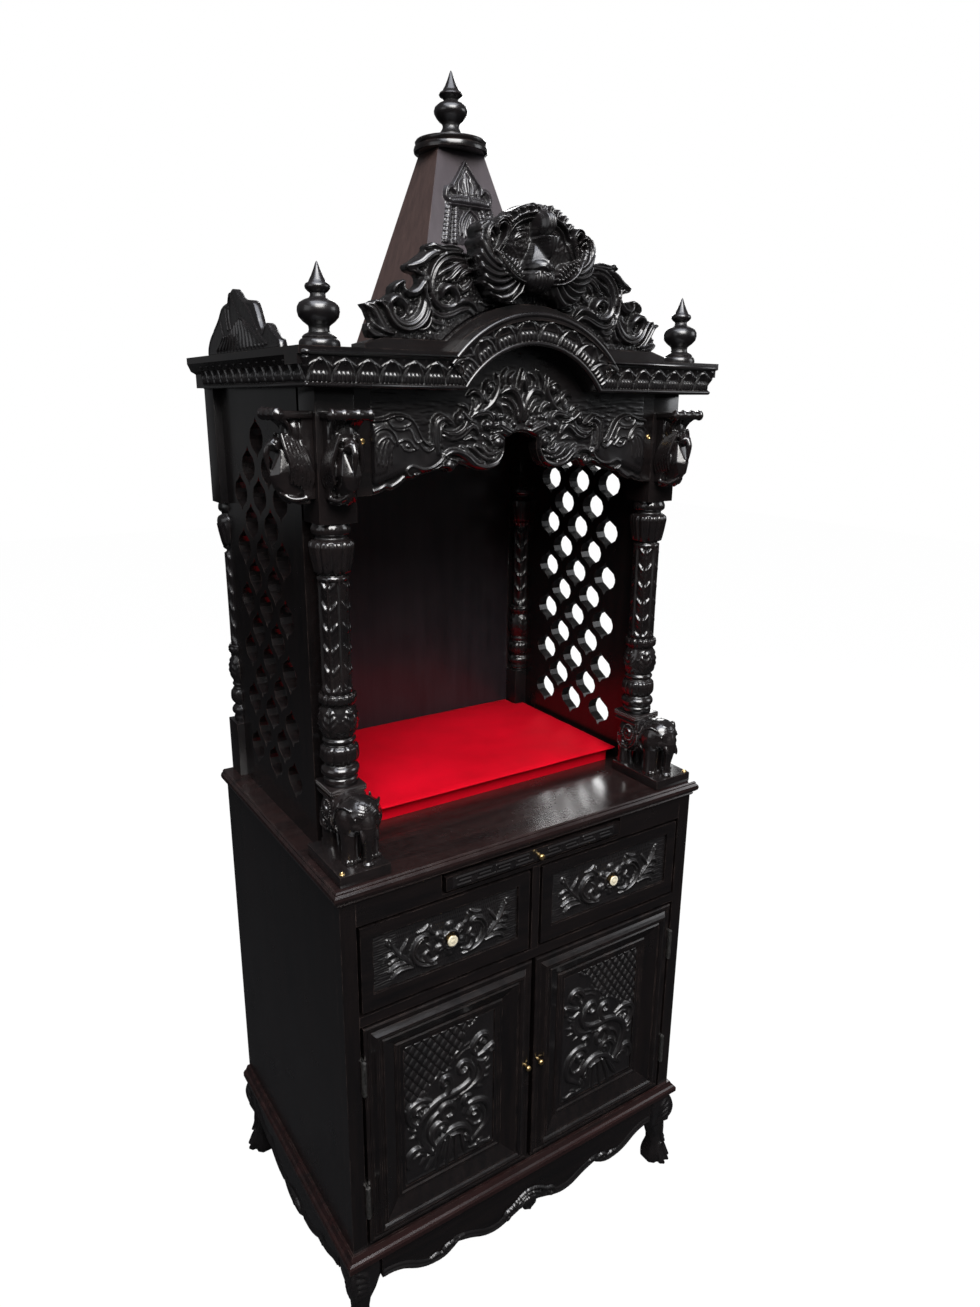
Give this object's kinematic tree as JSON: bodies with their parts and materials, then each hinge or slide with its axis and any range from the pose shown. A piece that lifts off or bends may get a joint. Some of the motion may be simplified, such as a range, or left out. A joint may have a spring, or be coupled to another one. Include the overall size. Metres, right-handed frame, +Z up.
{
  "type": "pooja mandir",
  "caption": "Carved dark wood home shrine: a canopied altar on elephant posts over a cabinet with doors, drawers and a pull-out tray.",
  "frame": {"origin": "centre of the bounding box at floor level", "axes": "+Z up, +X towards the viewer's right when facing the doors, the doors and drawers open towards -Y"},
  "size_m": [0.718, 0.4943, 1.877],
  "materials": {
    "dark_wood": "near-black rosewood polish with a red-brown undertone, glossy on the high spots",
    "inner_wood": "plain brown stained boards inside",
    "knob_brass": "worn polished brass",
    "hinge_steel": "pale plated hinge metal",
    "red_velvet": "deep red velvet stretched over a board"
  },
  "bodies": {
    "cabinet": {"back_apron": "dark_wood", "back_posts": "dark_wood", "bottom_rail": "dark_wood", "brackets": "dark_wood", "cabinet_back": "inner_wood", "cabinet_floor": "inner_wood", "corner_finials": "dark_wood", "countertop": "dark_wood", "crest": "dark_wood", "crest_base": "dark_wood", "drawer_divider": "dark_wood", "drawer_runners": "inner_wood", "dust_board": "inner_wood", "elephant_bases": "dark_wood", "frame_stiles": "dark_wood", "front_apron": "dark_wood", "front_cornice": "dark_wood", "front_moulding": "dark_wood", "front_posts": "dark_wood", "hinge_plates": "hinge_steel", "left_side_screen": "dark_wood", "legs": "dark_wood", "middle_rail": "dark_wood", "platform_cover": "red_velvet", "platform_riser": "inner_wood", "right_side_screen": "dark_wood", "roof_board": "dark_wood", "side_aprons": "dark_wood", "side_cornices": "dark_wood", "side_crests": "dark_wood", "side_mouldings": "dark_wood", "side_panels": "dark_wood", "spire_cap": "dark_wood", "spire_finial": "dark_wood", "spire_front_back": "dark_wood", "spire_sides": "dark_wood", "tray_rail": "dark_wood", "tray_runners": "inner_wood", "tray_shelf": "inner_wood", "upper_back": "dark_wood", "valance": "dark_wood"},
    "tray": {"tray_front": "dark_wood", "tray_board": "inner_wood", "tray_knob": "knob_brass"},
    "left_drawer": {"left_drawer_front": "dark_wood", "left_drawer_box": "inner_wood", "left_drawer_knob": "knob_brass"},
    "right_drawer": {"right_drawer_front": "dark_wood", "right_drawer_box": "inner_wood", "right_drawer_knob": "knob_brass"},
    "left_door": {"left_door_frame": "dark_wood", "left_door_panel": "dark_wood", "left_door_knob": "knob_brass", "left_door_hinges": "hinge_steel"},
    "right_door": {"right_door_frame": "dark_wood", "right_door_panel": "dark_wood", "right_door_knob": "knob_brass", "right_door_hinges": "hinge_steel"}
  },
  "joints": [
    {"name": "tray_slide", "type": "slide", "parent": "cabinet", "child": "tray", "axis": [0, -1, 0], "range_m": [0, 0.28]},
    {"name": "left_drawer_slide", "type": "slide", "parent": "cabinet", "child": "left_drawer", "axis": [0, -1, 0], "range_m": [0, 0.3]},
    {"name": "right_drawer_slide", "type": "slide", "parent": "cabinet", "child": "right_drawer", "axis": [0, -1, 0], "range_m": [0, 0.3]},
    {"name": "left_door_hinge", "type": "hinge", "parent": "cabinet", "child": "left_door", "pos_m": [-0.3015, -0.2308, 0.38], "axis": [0, 0, -1], "range_deg": [0, 110]},
    {"name": "right_door_hinge", "type": "hinge", "parent": "cabinet", "child": "right_door", "pos_m": [0.3015, -0.2308, 0.38], "axis": [0, 0, 1], "range_deg": [0, 110]}
  ]
}
